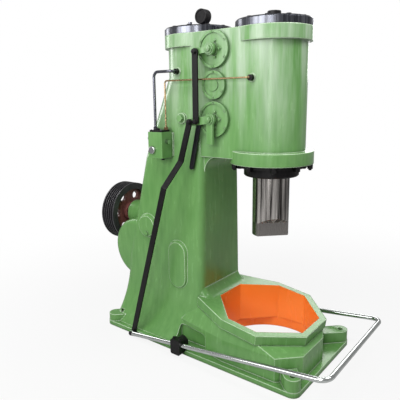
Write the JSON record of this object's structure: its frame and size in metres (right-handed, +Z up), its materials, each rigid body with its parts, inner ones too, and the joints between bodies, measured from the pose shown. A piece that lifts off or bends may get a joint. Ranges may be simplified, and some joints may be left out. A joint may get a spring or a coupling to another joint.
{
  "type": "pneumatic forging hammer",
  "caption": "Self-contained pneumatic forging hammer: cast column and cylinder block, sliding ram, octagonal anvil well, lever-worked valves, rear belt pulley and foot treadle bar.",
  "frame": {"origin": "centre of the anvil well at floor level, straight under the ram axis", "axes": "+X forward from the column to the ram side, +Y to the side away from the valve levers, +Z up"},
  "size_m": [2.376, 1.102, 2.622],
  "materials": {
    "green_enamel": "gloss machine enamel on cast iron",
    "machined_steel": "dark turned steel",
    "turned_steel": "turned and ground steel",
    "bright_steel": "polished steel bar",
    "pipe_steel": "plain steel",
    "black_enamel": "black enamel",
    "red_enamel": "red enamel",
    "copper": "drawn copper tube",
    "brass": "machined brass"
  },
  "bodies": {
    "frame": {"frame_casting": "green_enamel", "upper_valve_cover": "green_enamel", "middle_valve_cover": "green_enamel", "lower_valve_cover": "green_enamel", "side_plug": "green_enamel", "lubricator_box": "green_enamel", "front_cylinder_cover": "machined_steel", "rear_cylinder_cover": "machined_steel", "front_cover_plug": "machined_steel", "cover_nipple": "machined_steel", "breather_drum": "black_enamel", "gland_ring": "black_enamel", "near_treadle_bracket": "black_enamel", "far_treadle_bracket": "black_enamel", "lubricator_lid": "black_enamel", "rear_barrel_fitting": "black_enamel", "steel_oil_pipe": "pipe_steel", "lubricator_knob": "pipe_steel", "lubricator_dial": "pipe_steel", "copper_oil_pipe": "copper", "front_barrel_fitting": "brass", "bearing_cap": "brass"},
    "ram": {"ram": "turned_steel"},
    "pulley": {"crankshaft_end": "machined_steel", "pulley_rim": "black_enamel", "pulley_web": "red_enamel"},
    "treadle": {"treadle": "bright_steel", "near_treadle_clamp": "black_enamel", "far_treadle_clamp": "black_enamel"},
    "push_rod": {"push_rod": "black_enamel"},
    "lower_lever": {"lower_valve_lever": "green_enamel", "hand_lever": "black_enamel"},
    "link": {"valve_link_bar": "black_enamel"},
    "upper_lever": {"upper_valve_lever": "green_enamel"}
  },
  "joints": [
    {"name": "ram_slide", "type": "slide", "parent": "frame", "child": "ram", "axis": [0, 0, 1], "range_m": [-0.15, 0.27]},
    {"name": "pulley_spin", "type": "hinge", "parent": "frame", "child": "pulley", "pos_m": [-1.545, 0, 0.935], "axis": [1, 0, 0], "continuous": true},
    {"name": "treadle_press", "type": "hinge", "parent": "frame", "child": "treadle", "pos_m": [-0.512, 0, 0.096], "axis": [0, 1, 0], "range_deg": [0, 4.6], "stiffness_Nm_per_rad": 600, "springref_deg": -22.92},
    {"name": "push_rod_lift", "type": "slide", "parent": "frame", "child": "push_rod", "axis": [0, 0, 1], "range_m": [0, 0.042]},
    {"name": "lower_lever_turn", "type": "hinge", "parent": "frame", "child": "lower_lever", "pos_m": [-0.335, -0.3, 1.825], "axis": [0, 1, 0], "range_deg": [0, 16]},
    {"name": "link_lift", "type": "slide", "parent": "frame", "child": "link", "axis": [0, 0, 1], "range_m": [0, 0.031]},
    {"name": "upper_lever_turn", "type": "hinge", "parent": "frame", "child": "upper_lever", "pos_m": [-0.335, -0.3, 2.312], "axis": [0, 1, 0], "range_deg": [0, 16]}
  ],
  "couplings": [
    {"joint": "push_rod_lift", "follows": "treadle_press", "m_per_rad": 0.5178},
    {"joint": "lower_lever_turn", "follows": "treadle_press", "ratio": 3.466},
    {"joint": "link_lift", "follows": "treadle_press", "m_per_rad": 0.38},
    {"joint": "upper_lever_turn", "follows": "treadle_press", "ratio": 3.466}
  ]
}
